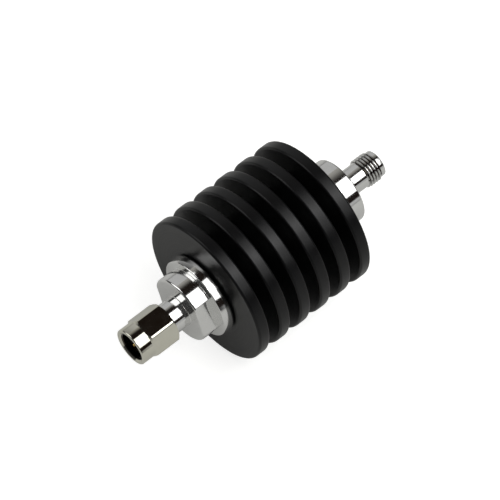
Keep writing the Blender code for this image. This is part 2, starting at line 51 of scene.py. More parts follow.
MM = 0.001
heatsink_low, heatsink_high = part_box("heatsink")
FRONT_FACE = heatsink_low.x
AXIS_HEIGHT = (heatsink_low.z + heatsink_high.z) / 2
HEATSINK_LENGTH = (heatsink_high.x - heatsink_low.x) / MM
RIM_RADIUS = (heatsink_high.z - heatsink_low.z) / 2 / MM
FIN_COUNT = 6
FIN_THICKNESS = 2.65
FIN_PITCH = (HEATSINK_LENGTH - FIN_THICKNESS) / (FIN_COUNT - 1)
GROOVE_FLOOR_RADIUS = 9.0
GROOVE_ROOT = 0.3
RIM_EDGE = 0.5
CORE_RADIUS = 6.0
CORE_CHAMFER = 0.3
MERGE_REACH = 0.001
HEATSINK_FACETS = 240


def rounded(outline, steps):
    """The outline's (station, radius, corner radius) points, with each corner that has a radius as an arc."""
    points = []
    for before, corner, after in zip(outline[-1:] + outline[:-1], outline, outline[1:] + outline[:1]):
        at = Vector(corner[:2])
        if len(corner) == 2:
            points.append(at)
            continue
        radius = corner[2]
        back = (Vector(before[:2]) - at).normalized()
        ahead = (Vector(after[:2]) - at).normalized()
        half = back.angle(ahead) / 2
        centre = at + (back + ahead).normalized() * radius / sin(half)
        first = at + back * radius / tan(half) - centre
        last = at + ahead * radius / tan(half) - centre
        start = atan2(first.y, first.x)
        sweep = (atan2(last.y, last.x) - start + pi) % (2 * pi) - pi
        for step in range(steps + 1):
            angle = start + sweep * step / steps
            points.append(centre + radius * Vector((cos(angle), sin(angle))))
    return points


def turn(name, outline, sides, steps=4):
    """Turn a piece: its outline is drawn point by point and spun about the axis. An outline that starts and
    ends on the axis is a solid piece, and one that stays clear of the axis is closed on itself, as a ring."""
    points = rounded(outline, steps)
    if outline[0][1] > 0:
        points.append(points[0])
    first = Vector((FRONT_FACE + points[0].x * MM, 0, AXIS_HEIGHT + points[0].y * MM))
    bpy.ops.object.select_all(action="DESELECT")
    bpy.ops.mesh.primitive_plane_add(size=MM, location=first)
    piece = bpy.context.object
    piece.name = name
    bpy.ops.object.mode_set(mode="EDIT")
    bpy.ops.mesh.merge(type="CENTER")
    for before, point in zip(points, points[1:]):
        step = ((point.x - before.x) * MM, 0, (point.y - before.y) * MM)
        bpy.ops.mesh.extrude_vertices_move(TRANSFORM_OT_translate={"value": step})
    bpy.ops.mesh.select_all(action="SELECT")
    bpy.ops.mesh.spin(steps=sides, angle=2 * pi, use_auto_merge=True, center=(0, 0, AXIS_HEIGHT),
                      axis=(1, 0, 0))
    bpy.ops.mesh.select_all(action="SELECT")
    bpy.ops.mesh.remove_doubles(threshold=MERGE_REACH * MM)
    bpy.ops.mesh.normals_make_consistent(inside=False)
    bpy.ops.object.mode_set(mode="OBJECT")
    bpy.ops.object.transform_apply(location=True, rotation=True, scale=True)
    return piece


def smooth(piece, angle=32):
    """Shade the round faces smooth and keep the flat ones flat right up to their edges. Face areas are in
    square metres here, and only a threshold of zero tells such small ones apart."""
    bpy.ops.object.select_all(action="DESELECT")
    piece.select_set(True)
    bpy.context.view_layer.objects.active = piece
    bpy.ops.object.shade_smooth_by_angle(angle=radians(angle))
    weighted = piece.modifiers.new("flat_faces_stay_flat", "WEIGHTED_NORMAL")
    weighted.keep_sharp = True
    weighted.thresh = 0.0
    bpy.ops.object.modifier_apply(modifier=weighted.name)


def linear(colour):
    """Turn an sRGB hex colour into the linear colour that a shader takes."""
    channels = [int(colour[place:place + 2], 16) / 255 for place in (1, 3, 5)]
    return [c / 12.92 if c <= 0.04045 else ((c + 0.055) / 1.055) ** 2.4 for c in channels] + [1.0]


def add(tree, kind, inputs=None, **settings):
    """Add a node with its settings. An input that is another node's socket is linked, the rest are set."""
    node = tree.nodes.new("ShaderNode" + kind)
    for name, value in settings.items():
        setattr(node, name, value)
    for name, value in (inputs or {}).items():
        if isinstance(value, bpy.types.NodeSocket):
            tree.links.new(value, node.inputs[name])
        else:
            node.inputs[name].default_value = value
    return node


def new_finish(name, same_all_over):
    """A new material with its shader, whose own sockets hold what is the same all over the surface."""
    finish = bpy.data.materials.new(name)
    finish.use_nodes = True
    shader = finish.node_tree.nodes["Principled BSDF"]
    for socket, value in same_all_over.items():
        shader.inputs[socket].default_value = value
    return finish, finish.node_tree, shader


def connect(tree, shader, tone, gloss=None, relief=None):
    """Lead a finish's colour, and its roughness and relief where they vary, to its shader."""
    tree.links.new(tone.outputs["Color"], shader.inputs["Base Color"])
    if gloss:
        tree.links.new(gloss.outputs["Result"], shader.inputs["Roughness"])
    if relief:
        tree.links.new(relief.outputs["Normal"], shader.inputs["Normal"])


def about_axis(tree):
    """The station along the axis and the distance from it, both in metres, of each point of a surface."""
    place = add(tree, "TexCoord").outputs["Object"]
    centred = add(tree, "Mapping", {"Vector": place, "Location": (0, 0, -AXIS_HEIGHT)})
    split = add(tree, "SeparateXYZ", {"Vector": centred.outputs["Vector"]})
    across = add(tree, "CombineXYZ", {"Y": split.outputs["Y"], "Z": split.outputs["Z"]})
    reach = add(tree, "VectorMath", {0: across.outputs["Vector"]}, operation="LENGTH")
    return split.outputs["X"], reach.outputs["Value"]


def lathe_marks(tree, pitch):
    """Turning marks: a value that changes only with the station and with the distance from the axis."""
    station, reach = about_axis(tree)
    mark = add(tree, "CombineXYZ", {"X": station, "Y": reach})
    rings = add(tree, "TexNoise", {"Vector": mark.outputs["Vector"], "Scale": 1 / (pitch * MM), "Detail": 2.0,
                                   "Roughness": 0.6}, noise_dimensions="2D")
    return rings.outputs["Fac"]


def grain(tree, size, detail=3.0):
    """An even grain of a size in millimetres, the same in every direction."""
    place = add(tree, "TexCoord").outputs["Object"]
    grains = add(tree, "TexNoise", {"Vector": place, "Scale": 1 / (size * MM), "Detail": detail})
    return grains.outputs["Fac"]


# Black anodised aluminium, satin: the dye leaves almost no colour of its own, and the oxide film gives a
# dull gloss over a fine etched grain. The turning marks under it are faint rings, about 0.08 mm apart on the
# real piece. Marks and grain are drawn about four times as coarse, because they would be too fine to show.
ANODISE_MARK_PITCH = 0.3
ANODISE_GRAIN = 0.12
ANODISE_CLOUD = 6.0
black_anodised, tree, shader = new_finish("black_anodised_aluminium",
                                          {"IOR": 1.5, "Specular IOR Level": 0.22})
marks = lathe_marks(tree, ANODISE_MARK_PITCH)
tone = add(tree, "MixRGB", {"Fac": grain(tree, ANODISE_CLOUD, 4.0), "Color1": linear("#060607"),
                            "Color2": linear("#0f0f10")})
gloss = add(tree, "MapRange", {"Value": marks, "From Min": 0.3, "From Max": 0.7,
                               "To Min": 0.28, "To Max": 0.33})
relief = add(tree, "Bump", {"Height": marks, "Strength": 0.1, "Distance": 0.01 * MM})
relief = add(tree, "Bump", {"Height": grain(tree, ANODISE_GRAIN), "Strength": 0.2, "Distance": 0.01 * MM,
                            "Normal": relief.outputs["Normal"]})
connect(tree, shader, tone, gloss, relief)

outline = [(CORE_CHAMFER, CORE_RADIUS), (0, CORE_RADIUS + CORE_CHAMFER)]
for fin in range(FIN_COUNT):
    front = fin * FIN_PITCH
    back = front + FIN_THICKNESS
    if fin > 0:
        outline.append((front, GROOVE_FLOOR_RADIUS, GROOVE_ROOT))
    outline.append((front, RIM_RADIUS, RIM_EDGE))
    outline.append((back, RIM_RADIUS, RIM_EDGE))
    if fin < FIN_COUNT - 1:
        outline.append((back, GROOVE_FLOOR_RADIUS, GROOVE_ROOT))
outline.append((HEATSINK_LENGTH, CORE_RADIUS + CORE_CHAMFER))
outline.append((HEATSINK_LENGTH - CORE_CHAMFER, CORE_RADIUS))
heatsink = turn("turned_heatsink", outline, sides=HEATSINK_FACETS, steps=5)
smooth(heatsink)
heatsink.data.materials.append(black_anodised)
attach(heatsink, "body")
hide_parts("heatsink")

# Carrier. Two halves of a round aluminium bar, milled with a channel between them, clamp the chip in the
# heatsink's bore and lead its heat away. Four small slotted screws of zinc plated steel draw them together.

# Bare milled aluminium: a pale grey metal with the cutter's fine lines along the piece.
MILLING_PITCH = 0.08
MILLING_RUN = 4.0
bare_aluminium, tree, shader = new_finish("bare_milled_aluminium", {"Metallic": 1.0})
place = add(tree, "TexCoord").outputs["Object"]
along = add(tree, "Mapping", {"Vector": place, "Scale": (MILLING_PITCH / MILLING_RUN, 1, 1)})
lines = add(tree, "TexNoise", {"Vector": along.outputs["Vector"], "Scale": 1 / (MILLING_PITCH * MM)})
lines = lines.outputs["Fac"]
tone = add(tree, "MixRGB", {"Fac": lines, "Color1": linear("#d2d3d5"), "Color2": linear("#e4e5e6")})
gloss = add(tree, "MapRange", {"Value": lines, "From Min": 0.3, "From Max": 0.7,
                               "To Min": 0.28, "To Max": 0.42})
relief = add(tree, "Bump", {"Height": lines, "Strength": 0.3, "Distance": 0.01 * MM})
connect(tree, shader, tone, gloss, relief)

# Zinc plated steel: a bluish bright metal, clouded where the passivation is thicker.
SCREW_COUNT = 4
ZINC_CLOUD = 0.3
zinc_plate, tree, shader = new_finish("zinc_plated_steel", {"Metallic": 1.0})
cloud = grain(tree, ZINC_CLOUD)
tone = add(tree, "MixRGB", {"Fac": cloud, "Color1": linear("#b9bdc4"), "Color2": linear("#d3d2cb")})
gloss = add(tree, "MapRange", {"Value": cloud, "From Min": 0.3, "From Max": 0.7,
                               "To Min": 0.22, "To Max": 0.36})
connect(tree, shader, tone, gloss)


def refinish(node, finish):
    """Give a CAD piece that stays as it is its finish, on the material slot that it came with."""
    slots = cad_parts[node].material_slots
    if slots:
        slots[0].material = finish
    else:
        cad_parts[node].data.materials.append(finish)


refinish("carrier_lower", bare_aluminium)
refinish("carrier_upper", bare_aluminium)
for screw in range(SCREW_COUNT):
    refinish(f"carrier_screw_{screw + 1}", zinc_plate)

# Attenuator chip. A plate of alumina ceramic with the resistive film on it makes the loss. It lies on a
# soft indium foil, and a gold plated tab runs from each of its ends to a connector's contact.

# White alumina: matt fired ceramic with a crystal grain, drawn several times as coarse as the real one.
CERAMIC_GRAIN = 0.05
white_ceramic, tree, shader = new_finish("white_alumina_ceramic", {"IOR": 1.6, "Roughness": 0.45})
crystals = grain(tree, CERAMIC_GRAIN)
tone = add(tree, "MixRGB", {"Fac": crystals, "Color1": linear("#dedcd6"), "Color2": linear("#efeeea")})
relief = add(tree, "Bump", {"Height": crystals, "Strength": 0.2, "Distance": 0.01 * MM})
connect(tree, shader, tone, relief=relief)

# Indium foil: a very soft grey metal that creases as it is pressed.
FOIL_CREASE = 0.6
indium_foil, tree, shader = new_finish("creased_indium_foil", {"Metallic": 1.0, "Roughness": 0.45})
creases = grain(tree, FOIL_CREASE, 5.0)
tone = add(tree, "MixRGB", {"Fac": creases, "Color1": linear("#a9abad"), "Color2": linear("#c6c7c9")})
relief = add(tree, "Bump", {"Height": creases, "Strength": 0.5, "Distance": 0.02 * MM})
connect(tree, shader, tone, relief=relief)

# Gold plate over beryllium copper: a warm yellow metal that keeps the turning rings of the metal below.
GOLD_MARK_PITCH = 0.12
gold_plate, tree, shader = new_finish("gold_plated_beryllium_copper", {"Metallic": 1.0})
marks = lathe_marks(tree, GOLD_MARK_PITCH)
tone = add(tree, "MixRGB", {"Fac": marks, "Color1": linear("#d9b15c"), "Color2": linear("#ecc877")})
gloss = add(tree, "MapRange", {"Value": marks, "From Min": 0.3, "From Max": 0.7,
                               "To Min": 0.16, "To Max": 0.26})
relief = add(tree, "Bump", {"Height": marks, "Strength": 0.15, "Distance": 0.005 * MM})
connect(tree, shader, tone, gloss, relief)

refinish("attenuator_chip", white_ceramic)
refinish("chip_pad", indium_foil)
refinish("input_tab", gold_plate)
refinish("output_tab", gold_plate)

# Plug shell. A brass bar is turned to a spigot, a seat flange, a round collar with two wrench flats, and
# the neck on which the nut turns, and ends in the thin outer contact. It is nickel plated and polished.

shell_low, shell_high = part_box("plug_shell")
PLUG_PLANE = (shell_low.x - FRONT_FACE) / MM
SPIGOT_LENGTH = (shell_high.x - FRONT_FACE) / MM
SPIGOT_CHAMFER = 0.3
SHELL_FACETS = 192
SEAT_GAP = 0.05
FLANGE_RADIUS = 8.85
FLANGE_FACE_RADIUS = 8.6
FLANGE_THICKNESS = 2.5
FLANGE_FACE = -SEAT_GAP - FLANGE_THICKNESS
FLANGE_EDGE = 0.2
FLANGE_SEAT_ROUND = 0.6
COLLAR_RADIUS = 7.1
COLLAR_ROOT = 0.12
FLATS_FACE = -6.45
FLATS_COUNT = 2
FLATS_ACROSS = 12.2
FLATS_WIDTH = 11.4
FLATS_ANGLE = radians(69.3)
COLLAR_FRONT_ROUND = 0.45
FLATS_TOOL_DEPTH = 4.0
FLATS_TOOL_RUN_IN = 1.0
NECK_RADIUS = 3.3
NECK_ROOT = 0.15
SLEEVE_LENGTH = 2.2
PLUG_SHOULDER = PLUG_PLANE + SLEEVE_LENGTH
RING_GROOVE_SETBACK = 0.95
RING_GROOVE = PLUG_SHOULDER + RING_GROOVE_SETBACK
RING_GROOVE_WIDTH = 0.6
RING_GROOVE_DEPTH = 0.35
RING_GROOVE_FLOOR = NECK_RADIUS - RING_GROOVE_DEPTH
SLEEVE_RADIUS = 2.295
LINE_RADIUS = 2.055
EDGE = 0.06


def cut(piece, tool, operation="DIFFERENCE"):
    """Machine one piece with another, which is used up."""
    modifier = piece.modifiers.new("cut", "BOOLEAN")
    modifier.operation = operation
    modifier.object = tool
    modifier.solver = "EXACT"
    bpy.ops.object.select_all(action="DESELECT")
    piece.select_set(True)
    bpy.context.view_layer.objects.active = piece
    bpy.ops.object.modifier_apply(modifier=modifier.name)
    bpy.data.objects.remove(tool, do_unlink=True)


# Polished bright nickel over turned brass: a white metal that mirrors its surroundings, with faint turning
# rings left under the plate. They are drawn about three times as coarse as the real ones, which are too fine
# to show. Down in a thread the colour is darkened to a grey brown, as painted shade.
NICKEL_MARK_PITCH = 0.25
NICKEL_CLOUD = 2.0
# Colour of the painted shade down in a thread.
THREAD_PAINTED_SHADE = "#3b3630"


def nickel(name, colours, roughness, rings, painted_shade=None):
    """Polished nickel, clouded between two colours and two values of roughness. Down in a thread the colour
    is darkened towards a grey brown as painted shade: the last argument gives the radius up to which the
    shade is full, the radius from which there is none, and the two stations between which the thread lies."""
    finish, tree, shader = new_finish(name, {"Metallic": 1.0})
    cloud = grain(tree, NICKEL_CLOUD, 4.0)
    tone = add(tree, "MixRGB", {"Fac": cloud, "Color1": linear(colours[0]), "Color2": linear(colours[1])})
    # Painted shade: the colour darkens to the grey brown towards a thread's root, between its two stations.
    if painted_shade:
        full_shade_radius, no_shade_radius, start, end = painted_shade
        station, reach = about_axis(tree)
        depth = add(tree, "MapRange", {"Value": reach, "From Min": no_shade_radius * MM,
                                       "From Max": full_shade_radius * MM})
        inside = add(tree, "Math", {0: station, 1: FRONT_FACE + (start + end) / 2 * MM,
                                    2: (end - start) / 2 * MM}, operation="COMPARE")
        shade_amount = add(tree, "Math", {0: depth.outputs["Result"], 1: inside.outputs["Value"]},
                   operation="MULTIPLY")
        tone = add(tree, "MixRGB", {"Fac": shade_amount.outputs["Value"], "Color1": tone.outputs["Color"],
                                    "Color2": linear(THREAD_PAINTED_SHADE)})
    gloss = add(tree, "MapRange", {"Value": cloud, "From Min": 0.3, "From Max": 0.7, "To Min": roughness[0],
                                   "To Max": roughness[1]})
    relief = add(tree, "Bump", {"Height": lathe_marks(tree, NICKEL_MARK_PITCH), "Strength": rings,
                                "Distance": 0.005 * MM})
    connect(tree, shader, tone, gloss, relief)
    return finish


polished_nickel = nickel("polished_nickel_plate", ("#d9d9d7", "#e3e3e2"), (0.08, 0.12), 0.06)

plug_shell = turn("turned_plug_shell", [
    (PLUG_PLANE, LINE_RADIUS),
    (PLUG_PLANE, SLEEVE_RADIUS, EDGE),
    (PLUG_SHOULDER, SLEEVE_RADIUS),
    (PLUG_SHOULDER, NECK_RADIUS, EDGE),
    (RING_GROOVE, NECK_RADIUS),
    (RING_GROOVE, RING_GROOVE_FLOOR),
    (RING_GROOVE + RING_GROOVE_WIDTH, RING_GROOVE_FLOOR),
    (RING_GROOVE + RING_GROOVE_WIDTH, NECK_RADIUS),
    (FLATS_FACE, NECK_RADIUS, NECK_ROOT),
    (FLATS_FACE, COLLAR_RADIUS, COLLAR_FRONT_ROUND),
    (FLANGE_FACE, COLLAR_RADIUS, COLLAR_ROOT),
    (FLANGE_FACE, FLANGE_FACE_RADIUS, FLANGE_EDGE),
    (-SEAT_GAP, FLANGE_RADIUS, FLANGE_SEAT_ROUND),
    (-SEAT_GAP, CORE_RADIUS - SEAT_GAP),
    (SPIGOT_LENGTH, CORE_RADIUS - SEAT_GAP, SPIGOT_CHAMFER),
    (SPIGOT_LENGTH, LINE_RADIUS),
], sides=SHELL_FACETS)
flats_length = FLANGE_FACE - FLATS_FACE + FLATS_TOOL_RUN_IN
for side in range(FLATS_COUNT):
    bpy.ops.object.select_all(action="DESELECT")
    bpy.ops.mesh.primitive_cube_add(size=1)
    block = bpy.context.object
    block.matrix_world = (
        Matrix.Translation((FRONT_FACE + (FLANGE_FACE - flats_length / 2) * MM, 0, AXIS_HEIGHT))
        @ Matrix.Rotation(FLATS_ANGLE + side * pi, 4, "X")
        @ Matrix.Translation((0, 0, (FLATS_ACROSS + FLATS_TOOL_DEPTH) / 2 * MM))
        @ Matrix.Diagonal((flats_length * MM, FLATS_WIDTH * MM, FLATS_TOOL_DEPTH * MM, 1))
    )
    cut(plug_shell, block)
smooth(plug_shell)
plug_shell.data.materials.append(polished_nickel)
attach(plug_shell, "body")
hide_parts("plug_shell")

# Inside of the plug. The centre pin is turned from beryllium copper and gold plated. It is pressed into a
# PTFE sleeve, which fills the shell's bore, and a soft silicone ring lies against the shell's shoulder.

PRESS_GAP = 0.035
CONTACT_RADIUS = 0.635
PIN_RADIUS = 0.46
PIN_REACH = 2.0
PIN_TIP_RADIUS = 0.2
PIN_TIP_ROUND = 0.08
PIN_TAPER = 0.5
TAIL_RADIUS = 0.4
TAIL_CHAMFER = 0.2
CONTACT_FACETS = 64
SLEEVE_EDGE = 0.08
SLEEVE_FACETS = 96
GASKET_THICKNESS = 0.7
GASKET_EDGE_GAP = 0.2
GASKET_ROUND = 0.2

# White PTFE: turned from skived rod, so it is matt, waxy and faintly ringed.
PTFE_MARK_PITCH = 0.15
white_ptfe, tree, shader = new_finish("turned_white_ptfe", {"IOR": 1.38})
marks = lathe_marks(tree, PTFE_MARK_PITCH)
tone = add(tree, "MixRGB", {"Fac": marks, "Color1": linear("#e2dfd6"), "Color2": linear("#f0eee8")})
gloss = add(tree, "MapRange", {"Value": marks, "From Min": 0.3, "From Max": 0.7,
                               "To Min": 0.42, "To Max": 0.55})
relief = add(tree, "Bump", {"Height": marks, "Strength": 0.3, "Distance": 0.01 * MM})
connect(tree, shader, tone, gloss, relief)

# Moulded silicone: a matt red-brown rubber with a fine grain from the mould.
SILICONE_GRAIN = 0.1
red_brown_silicone, tree, shader = new_finish("moulded_red_brown_silicone", {"IOR": 1.41, "Roughness": 0.6})
skin = grain(tree, SILICONE_GRAIN)
tone = add(tree, "MixRGB", {"Fac": skin, "Color1": linear("#7d3826"), "Color2": linear("#94492f")})
relief = add(tree, "Bump", {"Height": skin, "Strength": 0.3, "Distance": 0.01 * MM})
connect(tree, shader, tone, relief=relief)

pin_end = (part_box("plug_pin")[1].x - FRONT_FACE) / MM
pin_seat = SPIGOT_LENGTH + SEAT_GAP
plug_pin = turn("turned_plug_pin", [
    (PLUG_PLANE - PIN_REACH, 0),
    (PLUG_PLANE - PIN_REACH, PIN_TIP_RADIUS, PIN_TIP_ROUND),
    (PLUG_PLANE - PIN_REACH + PIN_TAPER, PIN_RADIUS),
    (PLUG_PLANE, PIN_RADIUS),
    (PLUG_PLANE, CONTACT_RADIUS, EDGE),
    (pin_seat, CONTACT_RADIUS),
    (pin_seat + TAIL_CHAMFER, TAIL_RADIUS),
    (pin_end, TAIL_RADIUS, EDGE),
    (pin_end, 0),
], sides=CONTACT_FACETS)
smooth(plug_pin)
plug_pin.data.materials.append(gold_plate)
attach(plug_pin, "body")
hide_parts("plug_pin")


def ptfe_sleeve(name, start, end, node):
    """A turned sleeve with its four edges broken, which stands for a connector's dielectric."""
    outer = LINE_RADIUS - PRESS_GAP
    inner = CONTACT_RADIUS + PRESS_GAP
    sleeve = turn(name, [(start, inner, SLEEVE_EDGE), (start, outer, SLEEVE_EDGE), (end, outer, SLEEVE_EDGE),
                         (end, inner, SLEEVE_EDGE)], sides=SLEEVE_FACETS)
    smooth(sleeve)
    sleeve.data.materials.append(white_ptfe)
    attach(sleeve, "body")
    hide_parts(node)


ptfe_sleeve("turned_plug_sleeve", PLUG_PLANE, SPIGOT_LENGTH, "plug_dielectric")

gasket_back = PLUG_SHOULDER - SEAT_GAP
gasket_front = gasket_back - GASKET_THICKNESS
gasket_inner = SLEEVE_RADIUS + PRESS_GAP
gasket_outer = NECK_RADIUS - GASKET_EDGE_GAP
gasket = turn("moulded_plug_gasket", [
    (gasket_front, gasket_inner, GASKET_ROUND),
    (gasket_front, gasket_outer, GASKET_ROUND),
    (gasket_back, gasket_outer, GASKET_ROUND),
    (gasket_back, gasket_inner, GASKET_ROUND),
], sides=SLEEVE_FACETS)
smooth(gasket)
gasket.data.materials.append(red_brown_silicone)
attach(gasket, "body")
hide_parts("plug_gasket")

# Coupling nut. Hexagon bar 8 mm across its flats, turned down at the nose, chamfered at both ends, bored
# and threaded 1/4-36 inside, and nickel plated. A split ring of spring steel, snapped into the shell's
# groove, reaches into a groove in the nut and holds it on, and the nut turns freely on the shell's neck.

nut_low, nut_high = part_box("coupling_nut")
NUT_FRONT = (nut_low.x - FRONT_FACE) / MM
NUT_REAR = (nut_high.x - FRONT_FACE) / MM
NUT_ACROSS_FLATS = 8.0
NUT_BLANK_ALLOWANCE = 0.1
NUT_REAR_FACE_MARGIN = 0.05
NUT_CORNER_ANGLE = radians(38)
NUT_CORNER_ROUND = 0.7
NUT_CORNER_FACETS = 6
NUT_BAR_RUN_OUT = 2.0
NOSE_LENGTH = 2.8
NOSE_RADIUS = 3.98
NOSE_EDGE = 0.22
NUT_CHAMFER_LENGTH = 0.6
MOUTH_RADIUS = 3.4
THREAD_PITCH = 25.4 / 36
THREAD_HALF_ANGLE = radians(30)
THREAD_TOOL_STEPS = 96
THREAD_TOOL_OVERLAP = 0.1
THREAD_TOOL_RUN_IN = 0.4
INNER_THREAD_RADIUS = 2.875
INNER_THREAD_ROOT = 3.22
INNER_THREAD_ROOT_WIDTH = 0.05
INNER_THREAD_SETBACK = 0.8
INNER_THREAD_RUN_OUT = 0.5
INNER_THREAD_END = PLUG_SHOULDER - INNER_THREAD_SETBACK
# How far into the nut's mouth the bore stays free of the painted shade.
UNSHADED_MOUTH_DEPTH = 0.3
RUNNING_GAP = 0.06
RELIEF_RADIUS = NECK_RADIUS + RUNNING_GAP
RING_REACH = 0.3
RING_POCKET_RADIUS = RELIEF_RADIUS + RING_REACH
RING_POCKET_FRONT = RING_GROOVE - SEAT_GAP
RING_POCKET_BACK = RING_GROOVE + RING_GROOVE_WIDTH + SEAT_GAP

# Bright nickel of the nut: the same plating as the shells', tinted a little warmer and darker as a painted
# warm reflection. Its bore is darkened with painted shade from just inside the mouth to the rear.
nut_nickel = nickel("bright_nickel_of_nut", ("#d0cec0", "#dad8cc"), (0.05, 0.1), 0.05,
                    (INNER_THREAD_ROOT, MOUTH_RADIUS, NUT_FRONT + UNSHADED_MOUTH_DEPTH, NUT_REAR))

# Spring steel: drawn bright wire, with fine lines along its round.
WIRE_LINE_PITCH = 0.06
spring_steel, tree, shader = new_finish("drawn_spring_steel", {"Metallic": 1.0})
marks = lathe_marks(tree, WIRE_LINE_PITCH)
tone = add(tree, "MixRGB", {"Fac": marks, "Color1": linear("#a9aaac"), "Color2": linear("#c2c3c5")})
gloss = add(tree, "MapRange", {"Value": marks, "From Min": 0.3, "From Max": 0.7,
                               "To Min": 0.24, "To Max": 0.36})
connect(tree, shader, tone, gloss)
refinish("nut_ring", spring_steel)


def thread_tool(name, root_radius, open_radius, root_width, first, last):
    """A V section carried along a helix: what a threading tool takes out between two stations."""
    turns = (last - first) / THREAD_PITCH
    half_root = root_width / 2
    half_open = half_root + abs(open_radius - root_radius) * tan(THREAD_HALF_ANGLE)
    section = [(first - half_root, root_radius), (first + half_root, root_radius),
               (first - half_open, open_radius), (first + half_open, open_radius)]
    bpy.ops.object.select_all(action="DESELECT")
    bpy.ops.mesh.primitive_plane_add(size=MM, location=(0, 0, 0))
    tool = bpy.context.object
    tool.name = name
    for vertex, (station, radius) in zip(tool.data.vertices, section):
        vertex.co = (FRONT_FACE + station * MM, 0, radius * MM)
    tool.location = (0, 0, AXIS_HEIGHT)
    bpy.ops.object.mode_set(mode="EDIT")
    bpy.ops.mesh.select_all(action="SELECT")
    bpy.ops.mesh.delete(type="ONLY_FACE")
    bpy.ops.object.mode_set(mode="OBJECT")
    helix = tool.modifiers.new("helix", "SCREW")
    helix.axis = "X"
    helix.angle = 2 * pi * turns
    helix.screw_offset = (last - first) * MM
    helix.steps = helix.render_steps = int(turns * THREAD_TOOL_STEPS)
    helix.use_merge_vertices = False
    bpy.ops.object.modifier_apply(modifier=helix.name)
    bpy.ops.object.mode_set(mode="EDIT")
    bpy.ops.mesh.select_all(action="DESELECT")
    bpy.ops.mesh.select_mode(type="EDGE")
    bpy.ops.mesh.select_non_manifold()
    bpy.ops.mesh.fill_holes(sides=0)
    bpy.ops.mesh.select_mode(type="VERT")
    bpy.ops.mesh.select_all(action="SELECT")
    bpy.ops.mesh.normals_make_consistent(inside=False)
    bpy.ops.object.mode_set(mode="OBJECT")
    bpy.ops.object.transform_apply(location=True, rotation=True, scale=True)
    return tool


corner_radius = NUT_ACROSS_FLATS / sqrt(3)
blank_radius = corner_radius + NUT_BLANK_ALLOWANCE
hex_front = NUT_FRONT + NOSE_LENGTH
nut = turn("hexagon_coupling_nut", [
    (NUT_FRONT, MOUTH_RADIUS, EDGE),
    (NUT_FRONT, NOSE_RADIUS, NOSE_EDGE),
    (hex_front, NOSE_RADIUS),
    (hex_front + NUT_CHAMFER_LENGTH, blank_radius),
    (NUT_REAR - NUT_CHAMFER_LENGTH, blank_radius),
    (NUT_REAR, NUT_ACROSS_FLATS / 2 + NUT_REAR_FACE_MARGIN, EDGE),
    (NUT_REAR, RELIEF_RADIUS, EDGE),
    (RING_POCKET_BACK, RELIEF_RADIUS),
    (RING_POCKET_BACK, RING_POCKET_RADIUS),
    (RING_POCKET_FRONT, RING_POCKET_RADIUS),
    (RING_POCKET_FRONT, RELIEF_RADIUS),
    (INNER_THREAD_END, RELIEF_RADIUS),
    (INNER_THREAD_END, INNER_THREAD_RADIUS),
    (NUT_FRONT + MOUTH_RADIUS - INNER_THREAD_RADIUS, INNER_THREAD_RADIUS),
], sides=SHELL_FACETS)
bpy.ops.object.select_all(action="DESELECT")
bpy.ops.mesh.primitive_cylinder_add(vertices=6, radius=corner_radius * MM,
                                    depth=(NUT_REAR - NUT_FRONT + 2 * NUT_BAR_RUN_OUT) * MM)
bar = bpy.context.object
bar.matrix_world = (
    Matrix.Translation((FRONT_FACE + (NUT_FRONT + NUT_REAR) / 2 * MM, 0, AXIS_HEIGHT))
    @ Matrix.Rotation(NUT_CORNER_ANGLE + pi / 6, 4, "X") @ Matrix.Rotation(pi / 2, 4, "Y")
)
bpy.ops.object.mode_set(mode="EDIT")
bpy.ops.mesh.select_all(action="DESELECT")
bpy.ops.object.mode_set(mode="OBJECT")
# The bar's six long edges are rounded. The surface turns by 60 degrees at each of them, so the round starts
# at its radius times the tangent of 30 degrees from the corner.
for edge in bar.data.edges:
    one, other = (bar.data.vertices[index].co for index in edge.vertices)
    edge.select = abs(one.z - other.z) > MM
bpy.ops.object.mode_set(mode="EDIT")
bpy.ops.mesh.select_mode(type="EDGE")
bpy.ops.mesh.bevel(offset=NUT_CORNER_ROUND * tan(radians(30)) * MM, segments=NUT_CORNER_FACETS,
                   offset_type="OFFSET")
bpy.ops.mesh.select_mode(type="VERT")
bpy.ops.object.mode_set(mode="OBJECT")
cut(nut, bar, "INTERSECT")
cut(nut, thread_tool("nut_thread_tool", INNER_THREAD_ROOT, INNER_THREAD_RADIUS - THREAD_TOOL_OVERLAP,
                     INNER_THREAD_ROOT_WIDTH, NUT_FRONT - THREAD_TOOL_RUN_IN,
                     INNER_THREAD_END + INNER_THREAD_RUN_OUT))
smooth(nut)
nut.data.materials.append(nut_nickel)
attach(nut, "nut")
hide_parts("coupling_nut")

# Jack shell. Turned like the plug's from brass bar: spigot, seat flange, plain round collar, neck, and a
# barrel threaded 1/4-36 with a plain pilot at its end. It is nickel plated and polished too.

jack_low, jack_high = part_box("jack_shell")
JACK_END = (jack_high.x - FRONT_FACE) / MM
JACK_SPIGOT_END = (jack_low.x - FRONT_FACE) / MM
JACK_SEAT = HEATSINK_LENGTH + SEAT_GAP
JACK_FLANGE_FACE = JACK_SEAT + FLANGE_THICKNESS
JACK_COLLAR_LENGTH = 4.2
JACK_COLLAR_END = JACK_FLANGE_FACE + JACK_COLLAR_LENGTH
JACK_COLLAR_EDGE = 0.4
PILOT_LENGTH = 0.96
PILOT_EDGE = 0.1
THREAD_LENGTH = 3.5
THREAD_END = JACK_END - PILOT_LENGTH
THREAD_START = THREAD_END - THREAD_LENGTH
THREAD_RADIUS = 3.175
THREAD_ROOT_RADIUS = 2.75
THREAD_ROOT_WIDTH = 0.14
THREAD_RUN_IN = 0.4
THREAD_STOP = 0.1
THREAD_CHAMFER = 0.3
# How far in from the thread's crest the colour stays free of the painted shade.
UNSHADED_CREST_DEPTH = 0.18
JACK_NECK_RADIUS = 2.75
PILOT_RADIUS = 2.85
COUNTERBORE_RADIUS = 2.31
COUNTERBORE_DEPTH = 1.9
JACK_PLANE = JACK_END - COUNTERBORE_DEPTH
